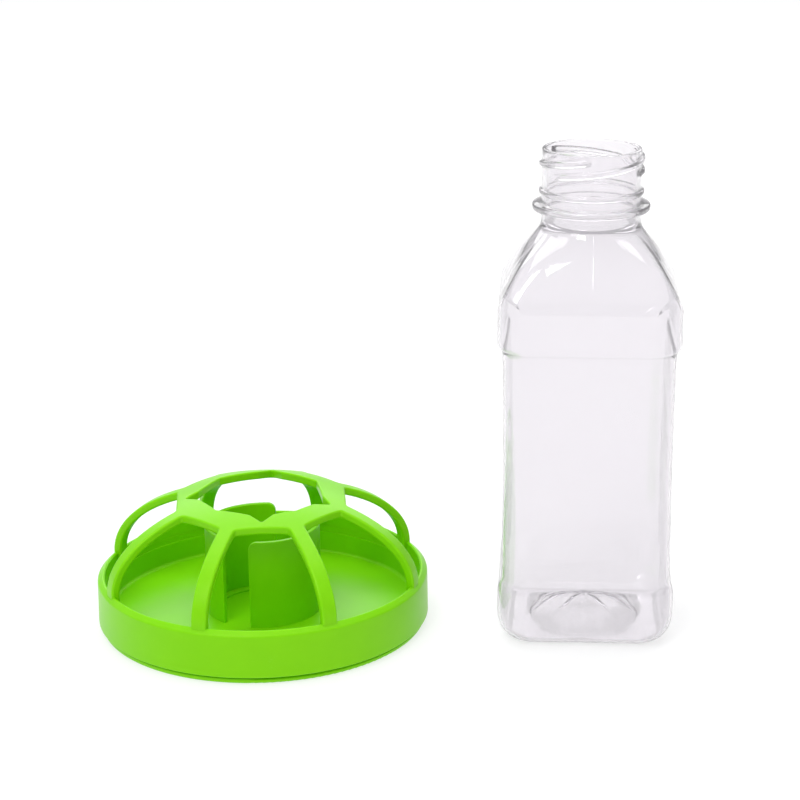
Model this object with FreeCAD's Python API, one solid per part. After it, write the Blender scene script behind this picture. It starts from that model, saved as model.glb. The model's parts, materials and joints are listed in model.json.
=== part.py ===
import FreeCAD, Part
import math
import os

# A gravity-fed wasp trap: a shallow tray with a split seat for a bottle neck, a domed cage cover that
# drops over the tray's wall, and a clear square bottle. In use the filled bottle is turned upside down,
# its neck goes through the cover's opening into the seat, and the bait keeps its own level in the tray.
# The pieces stand side by side, as they are set down before filling. Lengths are in millimetres.

V = FreeCAD.Vector
UP = V(0, 0, 1)

# ---- neck finish of the bottle, which the seat and the cover's opening are sized from
neck_d = 35.7
neck_wall = 1.65
ring_reach = 3.35
ring_thick = 2.6
ring_edge_round = 1.0
finish_height = 22.3
lip_round = 0.7
thread_depth = 1.0
thread_starts = 3
thread_lead = 13.2
thread_sweep = 170.0
thread_base = 2.6
thread_crest = 1.1
thread_start_angle = 100.0
thread_low = 11.1
thread_sink = 0.3
bead_low = 3.3
bead_thick = 2.0
bead_round = 0.8

# ---- bottle body
bottle_height = 180.0
body_wall = 0.9
band_half = 32.7
panel_inset = 1.7
panel_waist = 0.5
foot_inset = 0.5
flat_share = 0.705
corner_bulge = 2.1
neck_below_ring = 5.0
neck_flare_height = 2.2
neck_flare_out = 1.3
neck_flat_half = 8.0
shoulder_drop = 23.5
band_height = 16.0
band_step = 3.0
foot_band_top = 20.0
foot_step = 4.5
heel_height = 11.0
heel_inset = 7.5
heel_steps = 5
stand_width = 4.3
punt_height = 8.0
punt_rib_count = 8
punt_rib_width = 1.4
punt_rib_height = 0.6

# ---- tray
tray_inset = 1.25
foot_width = 5.5
foot_height = 1.8
floor_thick = 2.2
floor_top = 4.1
tray_wall = 1.5
tray_wall_top = 15.0
tray_step_drop = 2.4
tray_step = 0.5
tray_gap = 0.3
well_r = 17.2
well_depth = 0.8
well_edge_round = 0.3
floor_corner_round = 1.2
foot_round = 0.8
flange_round = 0.5

# ---- split seat for the neck
seat_clearance = 1.1
seat_wall = 1.65
seat_top = 37.9
seat_slot_angle = 29.0
seat_slot_turn = -23.5
seat_corner_round = 3.0
seat_rim_round = 0.4

# ---- cage cover
cover_r = 62.15
cover_draft = 0.2
cover_wall = 1.75
cover_gap_to_foot = 0.8
rim_above_wall = 5.1
rim_width = 2.95
rim_slope = 1.7
rim_chamfer_in = 0.7
rim_chamfer_down = 0.6
rim_shoulder_round = 0.9
rim_lip_round = 0.5
cover_edge_round = 0.4
dome_height = 32.2
dome_open_angle = 78.0
dome_root = 1.2
dome_inset = 1.3
shell_thick = 3.2
rib_count = 8
rib_width = 5.8
rib_round = 0.8
ring_round = 0.6
plate_width = 9.5
window_corner_round = 1.6
ring_pass_clearance = 0.7
seat_pass_clearance = 0.3
notch_angles = (0.0, 64.0, 171.0, 272.0)
notch_half_angle = 10.5
notch_depth = 4.6
notch_round = 0.8
cover_turn = 5.5

# ---- how the pieces stand
stand_spacing = 121.3
bottle_turn = -2.5

# ---- values that follow from the ones above
neck_r = neck_d / 2
bore_r = neck_r - neck_wall
ring_r = neck_r + ring_reach
thread_r = neck_r + thread_depth
panel_half = band_half - panel_inset
foot_half = band_half - foot_inset
stand_half = foot_half - heel_inset
punt_r = stand_half - stand_width
seat_inner_r = thread_r + seat_clearance
seat_outer_r = seat_inner_r + seat_wall
opening_r = max(ring_r + ring_pass_clearance, seat_outer_r + seat_pass_clearance)
ring_apothem = opening_r + plate_width
tray_r = cover_r - tray_inset
rim_top = tray_wall_top + rim_above_wall
tray_wall_r = cover_r - cover_wall - tray_gap
tray_inner_r = tray_wall_r - tray_wall
cover_base = foot_height + cover_gap_to_foot
neck_foot = bottle_height - finish_height - neck_below_ring
band_top = neck_foot - shoulder_drop
band_foot = band_top - band_height


def revolved(outline):
    """Solid of revolution about Z from (radius, height) points."""
    points = [V(r, 0, z) for r, z in outline]
    wire = Part.makePolygon(points + [points[0]])
    return Part.Face(wire).revolve(V(0, 0, 0), UP, 360)


def ring_edges(solid, radius, height):
    """Circular edges of a solid of revolution at one radius and height."""
    found = []
    for edge in solid.Edges:
        curve = edge.Curve
        if not isinstance(curve, Part.Circle):
            continue
        if abs(curve.Radius - radius) < 0.01 and abs(curve.Center.z - height) < 0.01:
            found.append(edge)
    return found


def round_rings(solid, rings):
    """Fillet circular edges given as (radius, height, fillet)."""
    for radius, height, fillet in rings:
        solid = solid.makeFillet(fillet, ring_edges(solid, radius, height))
    return solid


def prism(points, low, high):
    """Upright prism over a closed outline of (x, y) points."""
    corners = [V(x, y, low) for x, y in points]
    wire = Part.makePolygon(corners + [corners[0]])
    return Part.Face(wire).extrude(V(0, 0, high - low))


def polar(radius, angle):
    """Point in plan: the angle runs from the front, -Y, towards +X."""
    a = math.radians(angle)
    return (radius * math.sin(a), -radius * math.cos(a))


def turned(solid, angle):
    """A copy of the solid turned about Z."""
    copy = solid.copy()
    copy.rotate(V(0, 0, 0), UP, angle)
    return copy


# ---------------------------------------------------------------- tray

def tray_shell():
    floor_under = floor_top - floor_thick
    step_r = tray_inner_r + tray_step
    step_z = tray_wall_top - tray_step_drop
    outline = [
        (0, floor_under), (tray_r - foot_width, floor_under), (tray_r - foot_width, 0),
        (tray_r, 0), (tray_r, foot_height), (tray_wall_r, foot_height),
        (tray_wall_r, tray_wall_top), (step_r, tray_wall_top), (step_r, step_z),
        (tray_inner_r, step_z), (tray_inner_r, floor_top), (well_r, floor_top),
        (well_r, floor_top - well_depth), (0, floor_top - well_depth),
    ]
    shell = revolved(outline)
    return round_rings(shell, [
        (tray_inner_r, floor_top, floor_corner_round),
        (tray_r, 0, foot_round),
        (tray_r, foot_height, flange_round),
        (well_r, floor_top, well_edge_round),
    ])


def slot_cutter(angle):
    """Wedge from the axis outwards that opens one slot in the seat."""
    half = seat_slot_angle / 2
    reach = 2 * seat_outer_r
    return prism([(0, 0), polar(reach, angle - half), polar(reach, angle + half)],
                 floor_top, seat_top + 1)


def seat():
    root = floor_top - floor_thick / 2
    tube = Part.makeCylinder(seat_outer_r, seat_top - root, V(0, 0, root))
    tube = tube.cut(Part.makeCylinder(seat_inner_r, seat_top - root, V(0, 0, root)))
    for angle in (seat_slot_turn, seat_slot_turn + 180):
        tube = tube.cut(slot_cutter(angle))
    at_top = [e for e in tube.Edges if e.BoundBox.ZMin > seat_top - 0.01]
    tube = tube.makeFillet(seat_corner_round, [e for e in at_top if isinstance(e.Curve, Part.Line)])
    at_top = [e for e in tube.Edges if e.BoundBox.ZMin > seat_top - 0.01]
    return tube.makeFillet(seat_rim_round, [e for e in at_top if isinstance(e.Curve, Part.Circle)])


def tray():
    body = tray_shell().fuse(seat())
    return body.removeSplitter()


# ---------------------------------------------------------------- cage cover

def cover_band():
    rim_r = cover_r - cover_draft
    lip_r = cover_r - rim_width
    outline = [
        (cover_r - cover_wall, cover_base), (cover_r, cover_base),
        (rim_r, rim_top - rim_slope), (lip_r + rim_chamfer_in, rim_top),
        (lip_r, rim_top - rim_chamfer_down), (lip_r, tray_wall_top),
        (cover_r - cover_wall, tray_wall_top),
    ]
    band = revolved(outline)
    return round_rings(band, [
        (rim_r, rim_top - rim_slope, rim_shoulder_round),
        (lip_r + rim_chamfer_in, rim_top, rim_lip_round),
        (cover_r, cover_base, cover_edge_round),
    ])


def dome_arc(inset):
    """Arc of the dome's ellipse in the XZ plane, from the rim up to the open top."""
    a = cover_r - dome_inset - inset
    b = dome_height - inset
    ellipse = Part.Ellipse(V(a, 0, rim_top), V(0, 0, rim_top + b), V(0, 0, rim_top))
    return ellipse.toShape(0, math.radians(dome_open_angle))


def dome_shell():
    outer = dome_arc(0)
    inner = dome_arc(shell_thick)
    foot_z = rim_top - rim_slope - dome_root
    outer_foot, outer_top = outer.Vertexes[0].Point, outer.Vertexes[1].Point
    inner_foot, inner_top = inner.Vertexes[0].Point, inner.Vertexes[1].Point
    outer_low = V(outer_foot.x, 0, foot_z)
    inner_low = V(inner_foot.x, 0, foot_z)
    edges = [
        outer, Part.makeLine(outer_top, inner_top), inner,
        Part.makeLine(inner_foot, inner_low), Part.makeLine(inner_low, outer_low),
        Part.makeLine(outer_low, outer_foot),
    ]
    wire = Part.Wire(Part.__sortEdges__(edges))
    return Part.Face(wire).revolve(V(0, 0, 0), UP, 360)


def window_cutter():
    """Upright cutter for the window that faces the front, between two ribs."""
    half_step = math.pi / rib_count
    half_chord = ring_apothem * math.tan(half_step) - rib_width / 2 / math.cos(half_step)
    reach = cover_r
    far_x = half_chord + reach * math.sin(half_step)
    far_y = ring_apothem + reach * math.cos(half_step)
    block = prism([(-half_chord, -ring_apothem), (-far_x, -far_y), (far_x, -far_y),
                   (half_chord, -ring_apothem)], 0, rim_top + dome_height + 5)
    corners = [e for e in block.Edges
               if abs(e.BoundBox.YMin + ring_apothem) < 0.01 and e.BoundBox.ZLength > 1]
    return block.makeFillet(window_corner_round, corners)


def opening_outline():
    """Opening of the ring plate: straight sides that clear the bottle's ring, with V notches."""
    gaps = []
    for i, angle in enumerate(notch_angles):
        following = notch_angles[(i + 1) % len(notch_angles)]
        gaps.append((following - angle) % 360)
    widest = max(gaps) / 2 - notch_half_angle
    corner_r = opening_r / math.cos(math.radians(widest / 2))
    points = []
    for angle, gap in zip(notch_angles, gaps):
        points.append(polar(corner_r, angle - notch_half_angle))
        points.append(polar(corner_r + notch_depth, angle))
        points.append(polar(corner_r, angle + notch_half_angle))
        points.append(polar(corner_r, angle + gap / 2))
    return points


def opening_cutter():
    outline = opening_outline()
    block = prism(outline, 0, rim_top + dome_height + 5)
    tips = [V(x, y, 0) for x, y in outline[1::4]]
    at_tips = [e for e in block.Edges
               if e.BoundBox.ZLength > 1 and min(e.valueAt(0).distanceToPoint(t) for t in tips) < 0.01]
    return block.makeFillet(notch_round, at_tips)


def cage():
    shell = dome_shell().cut(opening_cutter())
    cutter = window_cutter()
    for i in range(rib_count):
        shell = shell.cut(turned(cutter, i * 360.0 / rib_count))
    return shell


def sharp_edges(shell, nearest, furthest):
    """Edges of the cage between two distances from the axis that aren't seams or nearly flat."""
    chosen = []
    for edge in shell.Edges:
        middle = edge.valueAt((edge.FirstParameter + edge.LastParameter) / 2)
        distance = math.hypot(middle.x, middle.y)
        if edge.BoundBox.ZMin < rim_top - rim_slope - dome_root + 0.1 and edge.BoundBox.ZMax < rim_top:
            continue
        if not nearest < distance < furthest:
            continue
        faces = shell.ancestorsOfType(edge, Part.Face)
        if len(faces) < 2:
            continue
        normals = []
        for face in faces:
            u, v = face.Surface.parameter(middle)
            normals.append(face.normalAt(u, v))
        if normals[0].getAngle(normals[1]) > 0.3:
            chosen.append(edge)
    return chosen


def cage_cover():
    frame = cage()
    split = ring_apothem - 2.0
    frame = frame.makeFillet(rib_round, sharp_edges(frame, split, cover_r))
    frame = frame.makeFillet(ring_round, sharp_edges(frame, 0, split))
    cover = frame.fuse(cover_band())
    return turned(cover.removeSplitter(), cover_turn)


# ---------------------------------------------------------------- bottle

def section(half, height, inset):
    """Square with bulged corners: four flats and four corner arcs, drawn in by an inset."""
    w = half - inset
    f = half * flat_share - inset * math.tan(math.radians(22.5))
    mid = (w + f) / 2 + corner_bulge / math.sqrt(2)
    edges = []
    for i in range(4):
        flat = Part.makeLine(V(-f, -w, height), V(f, -w, height))
        arc = Part.Arc(V(f, -w, height), V(mid, -mid, height), V(w, -f, height)).toShape()
        for edge in (flat, arc):
            edge.rotate(V(0, 0, 0), UP, 90 * i)
            edges.append(edge)
    return Part.Wire(edges)


def neck_section(radius, height):
    """Circle in eight arcs, which pair with the flats and corners of the body's section."""
    edges = []
    share = math.degrees(math.asin(neck_flat_half / neck_r))
    for i in range(4):
        front = 270 + 90 * i
        for start, end in ((front - share, front + share), (front + share, front + 90 - share)):
            mid = (start + end) / 2
            ends = [V(radius * math.cos(math.radians(a)), radius * math.sin(math.radians(a)), height)
                    for a in (start, mid, end)]
            edges.append(Part.Arc(*ends).toShape())
    return Part.Wire(edges)


def body(inset, neck_radius):
    """The body's solid up to the neck, drawn in by an inset: 0 outside, the wall for the hollow."""
    wires = []
    for i in range(heel_steps):
        a = math.radians(90.0 * i / heel_steps)
        half = foot_half - heel_inset * (1 - math.sin(a))
        height = heel_height * (1 - math.cos(a)) + inset * math.cos(a)
        wires.append(section(half, height, inset * math.sin(a)))
    panel_foot = foot_band_top + foot_step
    panel_top = band_foot - band_step
    for half, height in ((foot_half, heel_height), (foot_half, foot_band_top),
                         (panel_half, panel_foot),
                         (panel_half - panel_waist, (panel_foot + panel_top) / 2),
                         (panel_half, panel_top), (band_half, band_foot), (band_half, band_top)):
        wires.append(section(half, height, inset))
    wires.append(neck_section(neck_r + neck_flare_out - inset, neck_foot))
    wires.append(neck_section(neck_radius, neck_foot + neck_flare_height))
    solid = Part.makeLoft(wires[:2], True, True)
    for low, high in zip(wires[1:], wires[2:]):
        solid = solid.fuse(Part.makeLoft([low, high], True, True))
    return solid.removeSplitter()


def punt_ball(inset):
    """Sphere whose cap, above the foot, is the pushed-up part of the foot."""
    radius = (punt_r ** 2 + punt_height ** 2) / (2 * punt_height)
    return Part.makeSphere(radius + inset, V(0, 0, punt_height - radius), UP, 0, 90, 360)


def punt_ridges():
    """Radial ridges that stand on the inside of the punt."""
    skin = punt_ball(body_wall + punt_rib_height).cut(punt_ball(body_wall / 2))
    slab = Part.makeBox(2 * punt_r, punt_rib_width, punt_height + foot_band_top)
    slab.translate(V(-punt_r, -punt_rib_width / 2, body_wall / 2))
    ridges = []
    for i in range(punt_rib_count // 2):
        ridges.append(skin.common(turned(slab, (i + 0.5) * 360.0 / punt_rib_count)))
    return ridges


def finish():
    """Neck, lip, bead and support ring, outside only."""
    ring_low = bottle_height - finish_height
    neck = Part.makeCylinder(neck_r, bottle_height - neck_foot, V(0, 0, neck_foot))
    neck = round_rings(neck, [(neck_r, bottle_height, lip_round)])
    ring = Part.makeCylinder(ring_r, ring_thick, V(0, 0, ring_low))
    ring = round_rings(ring, [(ring_r, ring_low, ring_edge_round),
                              (ring_r, ring_low + ring_thick, ring_edge_round)])
    bead_z = ring_low + ring_thick + bead_low
    bead = Part.makeCylinder(thread_r, bead_thick, V(0, 0, bead_z))
    bead = round_rings(bead, [(thread_r, bead_z, bead_round), (thread_r, bead_z + bead_thick, bead_round)])
    return neck.fuse([ring, bead])


def thread():
    """One thread of the neck finish: a tapered-section rib along a helix."""
    rise = thread_lead * thread_sweep / 360.0
    start_z = bottle_height - finish_height + ring_thick + thread_low
    root = neck_r - thread_sink
    crest = thread_r
    helix = Part.makeHelix(thread_lead, rise, root)
    helix.translate(V(0, 0, start_z))
    profile = [V(root, 0, start_z - thread_base / 2), V(crest, 0, start_z - thread_crest / 2),
               V(crest, 0, start_z + thread_crest / 2), V(root, 0, start_z + thread_base / 2)]
    wire = Part.makePolygon(profile + [profile[0]])
    rib = Part.Wire(helix.Edges).makePipeShell([wire], True, True)
    return turned(rib, thread_start_angle)


def bottle():
    outside = body(0, neck_r).fuse(finish())
    outside = outside.cut(punt_ball(0))
    hollow = body(body_wall, bore_r).cut(punt_ball(body_wall))
    bore = Part.makeCylinder(bore_r, bottle_height - neck_foot, V(0, 0, neck_foot))
    solid = outside.cut(hollow.fuse(bore))
    for ridge in punt_ridges():
        solid = solid.fuse(ridge)
    one = thread()
    for i in range(thread_starts):
        solid = solid.fuse(turned(one, i * 360.0 / thread_starts))
    return turned(solid.removeSplitter(), bottle_turn)


# ---------------------------------------------------------------- assembly

def main():
    pieces = {"tray": tray(), "cage_cover": cage_cover(), "bottle": bottle()}
    pieces["bottle"].translate(V(stand_spacing, 0, 0))
    whole = Part.makeCompound(list(pieces.values())).optimalBoundingBox()
    shift = V(-(whole.XMin + whole.XMax) / 2, -(whole.YMin + whole.YMax) / 2, -whole.ZMin)
    os.makedirs("parts", exist_ok=True)
    for name, shape in pieces.items():
        shape.translate(shift)
        shape.exportStep("parts/" + name + ".step")
        print(name, "solids", len(shape.Solids), "valid", shape.isValid(), "volume", round(shape.Volume))
    print("shift", shift, "size", whole.XLength, whole.YLength, whole.ZLength)


main()
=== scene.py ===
# %% [markdown]
# A wasp trap laid out before it is filled: a green tray with a cage cover on it, and the clear bottle
# that will stand upside down in the tray's split seat. The engineering model gives every shape that
# has to fit, so it comes in first and stays where it is. Blender adds the finishes, a finer bottle,
# the light and the camera.

# %% Load the frame
import json
import math

import bpy
import numpy as np
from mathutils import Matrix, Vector

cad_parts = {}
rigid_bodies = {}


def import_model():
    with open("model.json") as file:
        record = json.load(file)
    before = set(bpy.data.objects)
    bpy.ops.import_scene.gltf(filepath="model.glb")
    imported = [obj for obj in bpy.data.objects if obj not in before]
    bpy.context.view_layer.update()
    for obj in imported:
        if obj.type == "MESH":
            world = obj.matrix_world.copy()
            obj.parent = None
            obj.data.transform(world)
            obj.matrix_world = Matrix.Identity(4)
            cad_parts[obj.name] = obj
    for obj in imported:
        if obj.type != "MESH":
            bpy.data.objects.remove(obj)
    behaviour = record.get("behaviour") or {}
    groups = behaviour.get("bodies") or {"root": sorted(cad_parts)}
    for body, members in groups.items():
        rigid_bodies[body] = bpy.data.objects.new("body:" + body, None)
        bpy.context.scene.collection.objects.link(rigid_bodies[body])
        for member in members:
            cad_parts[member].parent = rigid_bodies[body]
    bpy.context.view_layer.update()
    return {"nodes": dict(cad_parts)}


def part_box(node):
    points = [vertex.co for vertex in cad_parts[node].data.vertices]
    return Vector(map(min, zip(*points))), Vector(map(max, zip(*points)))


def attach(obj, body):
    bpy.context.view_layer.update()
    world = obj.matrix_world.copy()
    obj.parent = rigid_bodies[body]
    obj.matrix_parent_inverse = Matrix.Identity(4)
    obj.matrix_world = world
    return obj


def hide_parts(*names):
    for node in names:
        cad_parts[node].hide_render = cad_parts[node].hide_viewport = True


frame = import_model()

mm = 0.001
nodes = frame["nodes"]
for name in sorted(nodes):
    low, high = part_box(name)
    print(name, "from", [round(v, 4) for v in low], "to", [round(v, 4) for v in high])

# %% [markdown]
# Materials are built from small sums, such as a speck's mask times a depth. Wiring each sum by hand
# takes many lines, so one class stands for a socket's value and adds the Math node when two values
# meet an operator. The reflected forms let a plain number stand on the left.

# %% A value that can be used in arithmetic
class Flow:
    """The value of one socket, on its way through a finish."""

    def __init__(self, finish, socket):
        self.finish = finish
        self.socket = socket

    def maths(self, operation, *terms):
        return self.finish.add("ShaderNodeMath", {"operation": operation}, dict(enumerate(terms)))

    def __add__(self, other):
        return self.maths("ADD", self, other)

    def __mul__(self, other):
        return self.maths("MULTIPLY", self, other)

    def __sub__(self, other):
        return self.maths("SUBTRACT", self, other)

    def __rsub__(self, other):
        return self.maths("SUBTRACT", other, self)

    __radd__ = __add__
    __rmul__ = __mul__

    def between(self, low, high):
        """0 below low, 1 above high, and an easy slope between them."""
        return self.finish.add("ShaderNodeMapRange", {"interpolation_type": "SMOOTHSTEP"},
                               {"Value": self, "From Min": low, "From Max": high})


# %% A finish is one material
class Finish:
    """The nodes of one material, or of the room's light, with one method that adds any node."""

    def __init__(self, owner):
        owner.use_nodes = True
        self.owner = owner
        self.tree = owner.node_tree
        self.tree.nodes.clear()

    def add(self, kind, settings=None, sockets=None, out=0):
        node = self.tree.nodes.new(kind)
        for name, value in (settings or {}).items():
            setattr(node, name, value)
        for name, value in (sockets or {}).items():
            if isinstance(value, Flow):
                self.tree.links.new(value.socket, node.inputs[name])
            else:
                node.inputs[name].default_value = value
        return Flow(self, node.outputs[out]) if len(node.outputs) else None

    def place(self):
        """Where a point is on the piece, in metres."""
        return self.add("ShaderNodeTexCoord", out="Object")

    def grain(self, size, detail=2.0, rough=0.5, where=None):
        """Soft noise whose lumps are about size metres across, from 0 to 1."""
        return self.add("ShaderNodeTexNoise", {}, {"Vector": where or self.place(), "Scale": 1 / size,
                                                   "Detail": detail, "Roughness": rough})

    def blend_colours(self, factor, first, second):
        """A colour between two others."""
        return self.add("ShaderNodeMix", {"data_type": "RGBA"},
                        {"Factor": factor, 6: first, 7: second}, out=2)

    def surface(self, shader, kind="ShaderNodeOutputMaterial"):
        self.add(kind, {}, {"Surface": shader})
        print("finish", self.owner.name, "has", len(self.tree.nodes), "nodes")
        return self.owner


# %% [markdown]
# The tray and the cover are injection-moulded polypropylene. It is dyed through, a little cloudy, and
# has the soft shine of a lightly polished mould. A cloudy plastic glows where it is thin or where
# light comes back from a wall beside it, so some of the light goes in and out below the surface.
# The fine grain is the mould's polish, the slow one is uneven shrinkage, and the faint short marks
# come from handling.

# %% Green plastic
def green_plastic():
    finish = Finish(bpy.data.materials.new("green_polypropylene"))
    polish = finish.grain(0.0006, detail=3.0)
    shrink = finish.grain(0.022, detail=1.5)
    cloud = finish.grain(0.009, detail=3.0, rough=0.6)
    stretched = finish.add("ShaderNodeMapping", {}, {"Vector": finish.place(), "Rotation": (0.4, 0.3, 0.7),
                                                     "Scale": (1.0, 14.0, 6.0)})
    scuffs = finish.grain(0.011, detail=6.0, rough=0.75, where=stretched).between(0.60, 0.72)
    relief = polish * 0.00002 + shrink * 0.00022 - scuffs * 0.000006
    bump = finish.add("ShaderNodeBump", {}, {"Strength": 0.6, "Distance": 1.0, "Height": relief})
    colour = finish.blend_colours(cloud, (0.184, 0.595, 0.001, 1), (0.210, 0.640, 0.002, 1))
    colour = finish.blend_colours(scuffs * 0.12, colour, (0.36, 0.78, 0.12, 1))
    shader = finish.add("ShaderNodeBsdfPrincipled", {}, {
        "Base Color": colour, "Roughness": 0.30 + cloud * 0.08 + scuffs * 0.12, "IOR": 1.49,
        "Specular IOR Level": 0.34, "Specular Tint": (1.0, 1.0, 0.4, 1),
        "Subsurface Weight": 0.30, "Subsurface Radius": (0.9, 1.0, 0.25), "Subsurface Scale": 0.0022,
        "Normal": bump})
    return finish.surface(shader)


green = green_plastic()
for name in ("tray", "cage_cover"):
    piece = nodes[name]
    piece.data.materials.clear()
    piece.data.materials.append(green)
    print(name, "has", len(piece.data.polygons), "faces")

# %% [markdown]
# The bottle is blown from clear polyester. Its panels are thin and slightly wavy, its neck is thick
# and exact, and the mould's two halves leave a fine seam up the middle of the front and the back.
# A clear object is judged by its edges, which need smooth curves, so it is remade here as one closed
# skin, outside and inside, from rings of points. They follow the engineering model's sizes, with the
# shoulder and the steps moved by up to 2 mm where soft bends need it.

# %% Sizes of the bottle, in millimetres
bottle_height = 180.0
neck_r, bore_r, thread_r, ring_r = 17.85, 16.2, 18.85, 21.2
ring_low, ring_high = 157.7, 160.3
bead_low, bead_high = 163.6, 165.6
neck_foot, band_top, band_foot = 152.7, 129.2, 112.6
panel_top, panel_foot, foot_band_top = 110.6, 23.4, 20.8
heel_height, heel_inset, heel_steps = 11.0, 7.5, 6
band_half, panel_half, waist_half, foot_half = 32.7, 31.0, 30.5, 32.2
flat_share, corner_bulge, neck_flat_half = 0.705, 2.1, 8.0
wall, neck_flare = 0.9, 0.5
lip_round_out, lip_round_in, lip_steps, ring_round = 0.7, 0.5, 5, 1.0
punt_r, punt_height, fold_count, fold_depth = 20.4, 8.0, 8, 0.35
columns_per_flat, columns_per_corner = 20, 20
bottle_low, bottle_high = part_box("bottle")
axis_x = (bottle_low[0] + bottle_high[0]) / 2 / mm
turn = math.radians(-2.5)
print("bottle axis at x =", round(axis_x, 2), "mm")


# %% Rings of the bottle's body
def square_ring(half, height, inset=0.0):
    """Four flats and four bulged corners, as an array of points round the axis."""
    w = half - inset
    f = half * flat_share - inset * math.tan(math.radians(22.5))
    tip = ((w + f) / 2 + corner_bulge / math.sqrt(2)) * math.sqrt(2)
    along, across = (w + f) / math.sqrt(2), (w - f) / math.sqrt(2)
    centre = (tip ** 2 - along ** 2 - across ** 2) / (2 * (tip - along))
    reach = tip - centre
    spread = math.asin(across / reach)
    points = []
    for side in range(4):
        facing = math.radians(90 * side - 90)
        n = np.array([math.cos(facing), math.sin(facing)])
        t = np.array([-n[1], n[0]])
        for i in range(columns_per_flat):
            points.append(w * n + (2 * i / columns_per_flat - 1) * f * t)
        for i in range(columns_per_corner):
            a = facing + math.pi / 4
            b = a + spread * (2 * i / columns_per_corner - 1)
            points.append(np.array([centre * math.cos(a) + reach * math.cos(b),
                                    centre * math.sin(a) + reach * math.sin(b)]))
    return np.column_stack([np.array(points), np.full(len(points), height)])


def round_ring(radius, height):
    """A circle whose points pair with those of a square ring."""
    share = math.asin(neck_flat_half / neck_r)
    angles = []
    for side in range(4):
        facing = math.radians(90 * side - 90)
        for i in range(columns_per_flat):
            angles.append(facing + share * (2 * i / columns_per_flat - 1))
        for i in range(columns_per_corner):
            angles.append(facing + share + (math.pi / 2 - 2 * share) * i / columns_per_corner)
    angles = np.array(angles)
    return np.column_stack([radius * np.cos(angles), radius * np.sin(angles), np.full(len(angles), height)])


def cornerness():
    """0 on the flats, rising to 1 in the middle of each corner."""
    flat = [0.0] * columns_per_flat
    corner = [math.sin(math.pi * i / columns_per_corner) for i in range(columns_per_corner)]
    return np.array((flat + corner) * 4)


print("columns round the bottle:", len(cornerness()))


# %% [markdown]
# A blown bottle has no sharp edges: each band runs into the next in a soft bend. The rings above are
# therefore only guides. A quadratic spline runs up every column and rounds the bends by itself, more
# where the guides are far apart and less where they are close together.

# %% Guide rings and the spline between them
def softened(guides, steps):
    """Rings along a quadratic spline that starts and ends on the first and last guide."""
    rings = [guides[0]]
    for k in range(1, len(guides) - 1):
        start = guides[0] if k == 1 else (guides[k - 1] + guides[k]) / 2
        end = guides[-1] if k == len(guides) - 2 else (guides[k] + guides[k + 1]) / 2
        for s in range(1, steps + 1):
            u = s / steps
            rings.append((1 - u) ** 2 * start + 2 * u * (1 - u) * guides[k] + u ** 2 * end)
    return rings


def lifted(ring, flat_lift, corner_lift):
    """A ring raised by one height on the flats and by another in the middle of the corners."""
    raised = ring.copy()
    raised[:, 2] += flat_lift + (corner_lift - flat_lift) * cornerness()
    return raised


# How far from a panel's step, and how far the panel has sunk there.
panel_bends = ((0, 0), (3.1, 0.1), (10.6, 0.2))
# How much of the way from the band to the neck, and the lifts on the flats and at the corners.
shoulder_bends = ((0, -1.8, -1.8), (0, 0, 0), (0.05, 0.5, 0.5), (0.16, 1.8, 1.5), (0.5, 3.0, 2.4),
                  (0.88, 0.5, 0.5))
body_end = neck_foot + 3.0


def body_guides(inset, neck_radius):
    """Guide rings from the heel to the neck, on the outside or drawn in by the wall."""
    guides = []
    for i in range(heel_steps + 1):
        a = math.pi / 2 * i / heel_steps
        guides.append(square_ring(foot_half - heel_inset * (1 - math.sin(a)),
                                  heel_height * (1 - math.cos(a)) + inset * math.cos(a),
                                  inset * math.sin(a)))
    profile = [(foot_half, heel_height + 5), (foot_half, foot_band_top)]
    profile += [(panel_half - sink, panel_foot + away) for away, sink in panel_bends]
    profile += [(waist_half, (panel_foot + panel_top) / 2)]
    profile += [(panel_half - sink, panel_top - away) for away, sink in reversed(panel_bends)]
    profile += [(band_half, band_foot), (band_half, band_foot + 2), (band_half, band_top - 8.7)]
    for half, height in profile:
        guides.append(square_ring(half, height, inset))
    edge = lifted(square_ring(band_half, band_top, inset), -2.2, 2.0)
    neck = round_ring(neck_r + neck_flare - inset, neck_foot - 0.8)
    for share, flat_lift, corner_lift in shoulder_bends:
        guides.append(lifted(edge * (1 - share) + neck * share, flat_lift, corner_lift))
    guides.append(neck)
    guides.append(round_ring(neck_radius, neck_foot + 1.0))
    guides.append(round_ring(neck_radius, body_end))
    return guides


outer_body = softened(body_guides(0.0, neck_r), 4)
inner_body = softened(body_guides(wall, bore_r), 4)
print("rings up the body:", len(outer_body))


# %% [markdown]
# The neck carries a support ring, a level bead, a lip and a thread with three starts. A thread added
# as a separate ribbon would leave a hidden wall inside a clear piece, and light would bend on it. So
# the neck's own rings are pushed out wherever the thread passes, and the skin stays single.

# %% Neck, support ring, thread and lip
thread_starts, thread_lead, thread_sweep, thread_turn = 3, 13.2, 170.0, 100.0
thread_low = ring_high + 11.1
thread_half_base, thread_flank, thread_run_out = 1.25, 0.75, 14.0
ring_spacing = 0.25


def thread_push(angles, height):
    """How far the thread stands out of the neck at each angle, at one height."""
    push = np.zeros(len(angles))
    for start in range(thread_starts):
        run = (np.degrees(angles) - thread_turn - 120.0 * start) % 360.0
        offset = np.abs(height - thread_low - thread_lead * run / 360.0)
        rise = np.clip((thread_half_base - offset) / thread_flank, 0, 1)
        ends = np.clip(np.minimum(run, thread_sweep - run) / thread_run_out, 0, 1)
        push = np.maximum(push, (thread_r - neck_r) * (rise * rise * (3 - 2 * rise)) * ends)
    return push


def bead_push(height):
    """How far the level bead under the thread stands out at one height."""
    half = (bead_high - bead_low) / 2
    offset = abs(height - bead_low - half) / half
    return (thread_r - neck_r) * math.sqrt(1 - offset ** 3) if offset < 1 else 0.0


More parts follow.
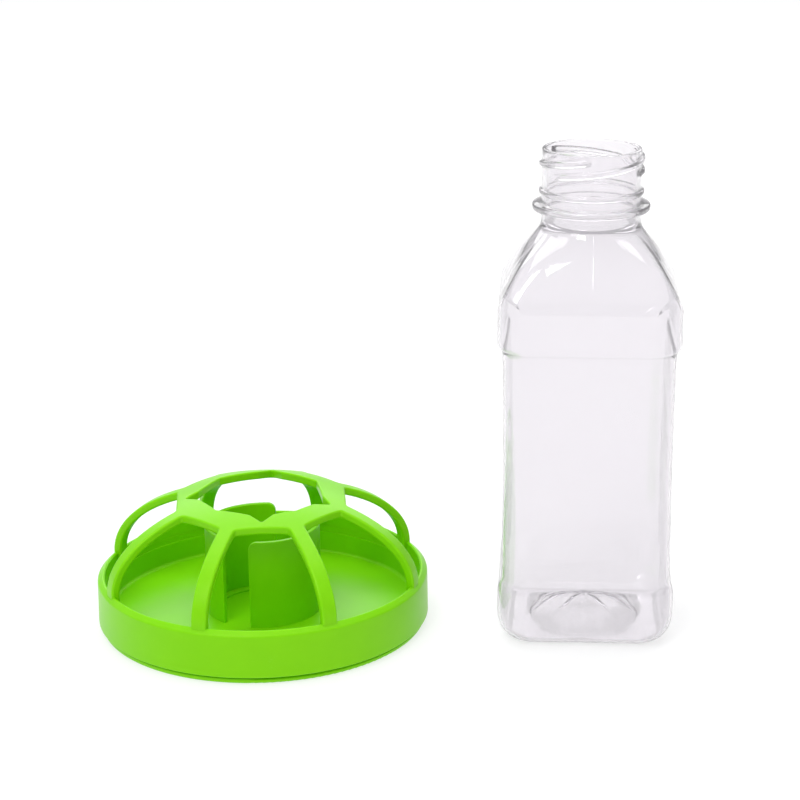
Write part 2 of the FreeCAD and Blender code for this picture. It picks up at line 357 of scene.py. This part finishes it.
def neck_rings():
    """The outside from the shoulder's end up to the lip's crown."""
    rings = []
    for height in np.linspace(body_end + 0.3, ring_low - 0.1, 4):
        rings.append(round_ring(neck_r, height))
    for a in np.linspace(-math.pi / 2, math.pi / 2, 9):
        out = ring_r - ring_round + ring_round * math.cos(a)
        middle = ring_low + ring_round if a < 0 else ring_high - ring_round
        rings.append(round_ring(out, middle + ring_round * math.sin(a)))
    for height in np.arange(ring_high + 0.1, bottle_height - lip_round_out - 0.1, ring_spacing):
        ring = round_ring(neck_r, height)
        angles = np.arctan2(ring[:, 1], ring[:, 0])
        scale = 1 + (thread_push(angles, height) + bead_push(height)) / neck_r
        rings.append(ring * np.column_stack([scale, scale, np.ones(len(scale))]))
    for i in range(1, lip_steps + 1):
        a = math.pi / 2 * i / lip_steps
        rings.append(round_ring(neck_r - lip_round_out * (1 - math.cos(a)),
                                bottle_height - lip_round_out * (1 - math.sin(a))))
    return rings


def bore_rings():
    """The inside from the lip's crown down to the shoulder."""
    rings = []
    for i in reversed(range(lip_steps)):
        a = math.pi / 2 * i / lip_steps
        rings.append(round_ring(bore_r + lip_round_in * (1 - math.cos(a)),
                                bottle_height - lip_round_in * (1 - math.sin(a))))
    for height in np.linspace(bottle_height - 3, body_end + 0.6, 12):
        rings.append(round_ring(bore_r, height))
    return rings


print("rings up the neck:", len(neck_rings()), "and down the bore:", len(bore_rings()))


# %% [markdown]
# The foot is pushed up in the middle, so the bottle stands on a ring, and radial folds stiffen the
# pushed-up dome. They catch the light as bright and dark rays. The folds are waves added to the
# dome's height, strongest half way out, so they fade into the middle and into the ring.

# %% The foot's dome with its folds
def punt_rings(lift):
    """Rings from the standing ring to the middle of the foot."""
    ball = (punt_r ** 2 + punt_height ** 2) / (2 * punt_height)
    stand = square_ring(foot_half - heel_inset, lift)
    rings = [stand * 0.6 + round_ring(punt_r, lift) * 0.4]
    for share in (1.0, 0.97, 0.93, 0.88, 0.82, 0.75, 0.67, 0.58, 0.48, 0.38, 0.28, 0.18, 0.09):
        ring = round_ring(punt_r * share, lift)
        angles = np.arctan2(ring[:, 1], ring[:, 0])
        dome = math.sqrt(ball ** 2 - (punt_r * share) ** 2) - ball + punt_height
        fade = math.sin(math.pi * share) ** 0.7 if share < 1 else 0.0
        wave = np.clip(np.cos(fold_count * angles), 0, 1) ** 2
        ring[:, 2] = lift + dome + fold_depth * fade * wave
        rings.append(ring)
    return rings


outer_punt = punt_rings(0.0)
inner_punt = punt_rings(wall)
print("rings across the foot:", len(outer_punt))


# %% One closed skin
def skin(name, rings, first_point, last_point):
    """A closed mesh over a run of rings, with a point at each end."""
    count = len(rings[0])
    points = np.vstack([*rings, [first_point], [last_point]])
    c, s = math.cos(turn), math.sin(turn)
    x = points[:, 0] * c - points[:, 1] * s + axis_x
    y = points[:, 0] * s + points[:, 1] * c
    points = np.column_stack([x, y, points[:, 2]]) * mm
    faces = []
    for r in range(len(rings) - 1):
        a, b = r * count, (r + 1) * count
        for i in range(count):
            j = (i + 1) % count
            faces.append((a + i, a + j, b + j, b + i))
    first, last = len(rings) * count, len(rings) * count + 1
    end = (len(rings) - 1) * count
    for i in range(count):
        j = (i + 1) % count
        faces.append((first, j, i))
        faces.append((last, end + i, end + j))
    mesh = bpy.data.meshes.new(name)
    mesh.from_pydata(points.tolist(), [], faces)
    mesh.update()
    mesh.shade_smooth()
    piece = bpy.data.objects.new(name, mesh)
    bpy.context.collection.objects.link(piece)
    return piece


outside = outer_punt[::-1] + outer_body + neck_rings()
inside = bore_rings() + inner_body[::-1] + inner_punt
bottle = skin("clear_bottle", outside + inside, (0, 0, punt_height), (0, 0, punt_height + wall))
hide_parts("bottle")
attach(bottle, "bottle")
area = sum(p.area for p in bottle.data.polygons)
print("bottle skin:", len(bottle.data.vertices), "points,", round(area * 1e4), "square centimetres")


# %% [markdown]
# Clear polyester bends light more than water and less than glass jewels. It is nearly colourless, with
# a trace of lavender and of milkiness, so the shader lets nearly all the light through. Slow waves come
# from uneven stretching of the panels, a fine haze varies the polish, and the seam is a hair-thin ridge
# on the line where the two mould halves met.

# %% Clear bottle plastic
def clear_plastic():
    finish = Finish(bpy.data.materials.new("clear_polyester"))
    place = finish.place()
    waves = finish.grain(0.016, detail=2.0, where=place)
    ripples = finish.grain(0.004, detail=2.0, where=place)
    haze = finish.grain(0.03, detail=4.0, where=place)
    x, y = (finish.add("ShaderNodeSeparateXYZ", {}, {"Vector": place}, out=i) for i in (0, 1))
    across = (x - axis_x * mm) * math.cos(turn) + y * math.sin(turn)
    off_seam = finish.add("ShaderNodeMath", {"operation": "ABSOLUTE"}, {0: across - 0.0008})
    seam = 1 - off_seam.between(0.00005, 0.0003)
    relief = waves * 0.00030 + ripples * 0.00003 + seam * 0.00005
    bump = finish.add("ShaderNodeBump", {}, {"Strength": 0.5, "Distance": 1.0, "Height": relief})
    tint = finish.blend_colours(haze, (0.935, 0.916, 0.942, 1), (0.955, 0.938, 0.960, 1))
    shader = finish.add("ShaderNodeBsdfPrincipled", {}, {
        "Base Color": tint, "Roughness": 0.015 + haze * 0.03, "IOR": 1.57, "Transmission Weight": 0.91,
        "Normal": bump})
    return finish.surface(shader)


bottle.data.materials.append(clear_plastic())


# %% [markdown]
# The set is a white sweep. The floor gives off light of its own, as an overexposed sweep seems to do,
# so only a breath of shade is left under the pieces.

# %% Floor
floor_half, floor_gap = 6.0, 0.0003


def floor():
    mesh = bpy.data.meshes.new("floor")
    corners = ((-1, -1), (1, -1), (1, 1), (-1, 1))
    points = [(floor_half * x, floor_half * y, -floor_gap) for x, y in corners]
    mesh.from_pydata(points, [], [(0, 1, 2, 3)])
    sheet = bpy.data.objects.new("floor", mesh)
    bpy.context.collection.objects.link(sheet)
    finish = Finish(bpy.data.materials.new("floor_white"))
    fibre = finish.grain(0.002)
    colour = finish.blend_colours(fibre, (0.31, 0.31, 0.31, 1), (0.34, 0.34, 0.34, 1))
    shader = finish.add("ShaderNodeBsdfPrincipled", {}, {
        "Base Color": colour, "Roughness": 0.9, "Specular IOR Level": 0.1,
        "Emission Color": (1, 1, 1, 1), "Emission Strength": 0.69})
    mesh.materials.append(finish.surface(shader))


floor()


# %% [markdown]
# Soft light comes from everywhere above, and from wide softboxes over and behind the pieces. A third
# stands at the left front. The smallest is in front, just above the camera, and its reflection is the
# white patch on the bottle's shoulder. The room is dimmer towards the floor, which draws the edges of
# the clear plastic.

# %% Room light
def room():
    finish = Finish(bpy.data.worlds.new("studio"))
    way = finish.add("ShaderNodeTexCoord")
    height = finish.add("ShaderNodeSeparateXYZ", {}, {"Vector": way}, out=2)
    strength = 0.45 + height.between(-0.15, 0.75) * 0.37
    glow = finish.add("ShaderNodeBackground", {}, {"Color": (0.98, 0.98, 1.0, 1), "Strength": strength})
    bpy.context.scene.world = finish.surface(glow, "ShaderNodeOutputWorld")


def softbox(name, place, aim, width, height, power):
    light = bpy.data.lights.new(name, "AREA")
    light.shape = "RECTANGLE"
    light.size, light.size_y, light.energy = width, height, power
    lamp = bpy.data.objects.new(name, light)
    bpy.context.collection.objects.link(lamp)
    lamp.location = place
    lamp.rotation_euler = (Vector(aim) - Vector(place)).to_track_quat("-Z", "Y").to_euler()
    print(name, "at", place, "gives", power, "W")


room()
softbox("over_light", (0.0, 0.25, 1.2), (0, 0, 0), 1.2, 0.9, 6)
softbox("back_light", (0.0, 1.6, 1.0), (0, 0, 0.05), 2.2, 0.9, 10)
softbox("left_light", (-0.75, -0.95, 1.15), (0, 0, 0.08), 0.55, 0.7, 3.5)
softbox("front_light", (-0.24, -0.66, 0.92), (0.06, 0, 0.13), 0.24, 0.42, 2.6)

# %% [markdown]
# The camera stands about an arm's length away and looks slightly down. The view is a little off the
# lens's middle, as in a crop of a wider picture.

# %% Camera
lens = bpy.data.cameras.new("camera")
lens.sensor_width, lens.lens = 36.0, 93.43
lens.shift_x, lens.shift_y = -0.0751, -0.0015
lens.clip_start, lens.clip_end = 0.05, 50.0
camera = bpy.data.objects.new("camera", lens)
bpy.context.collection.objects.link(camera)
camera.location = (0.02795, -0.72965, 0.31653)
camera.rotation_euler = (math.radians(72.491), 0, 0)
bpy.context.scene.camera = camera
bpy.context.scene.view_settings.view_transform = "Standard"
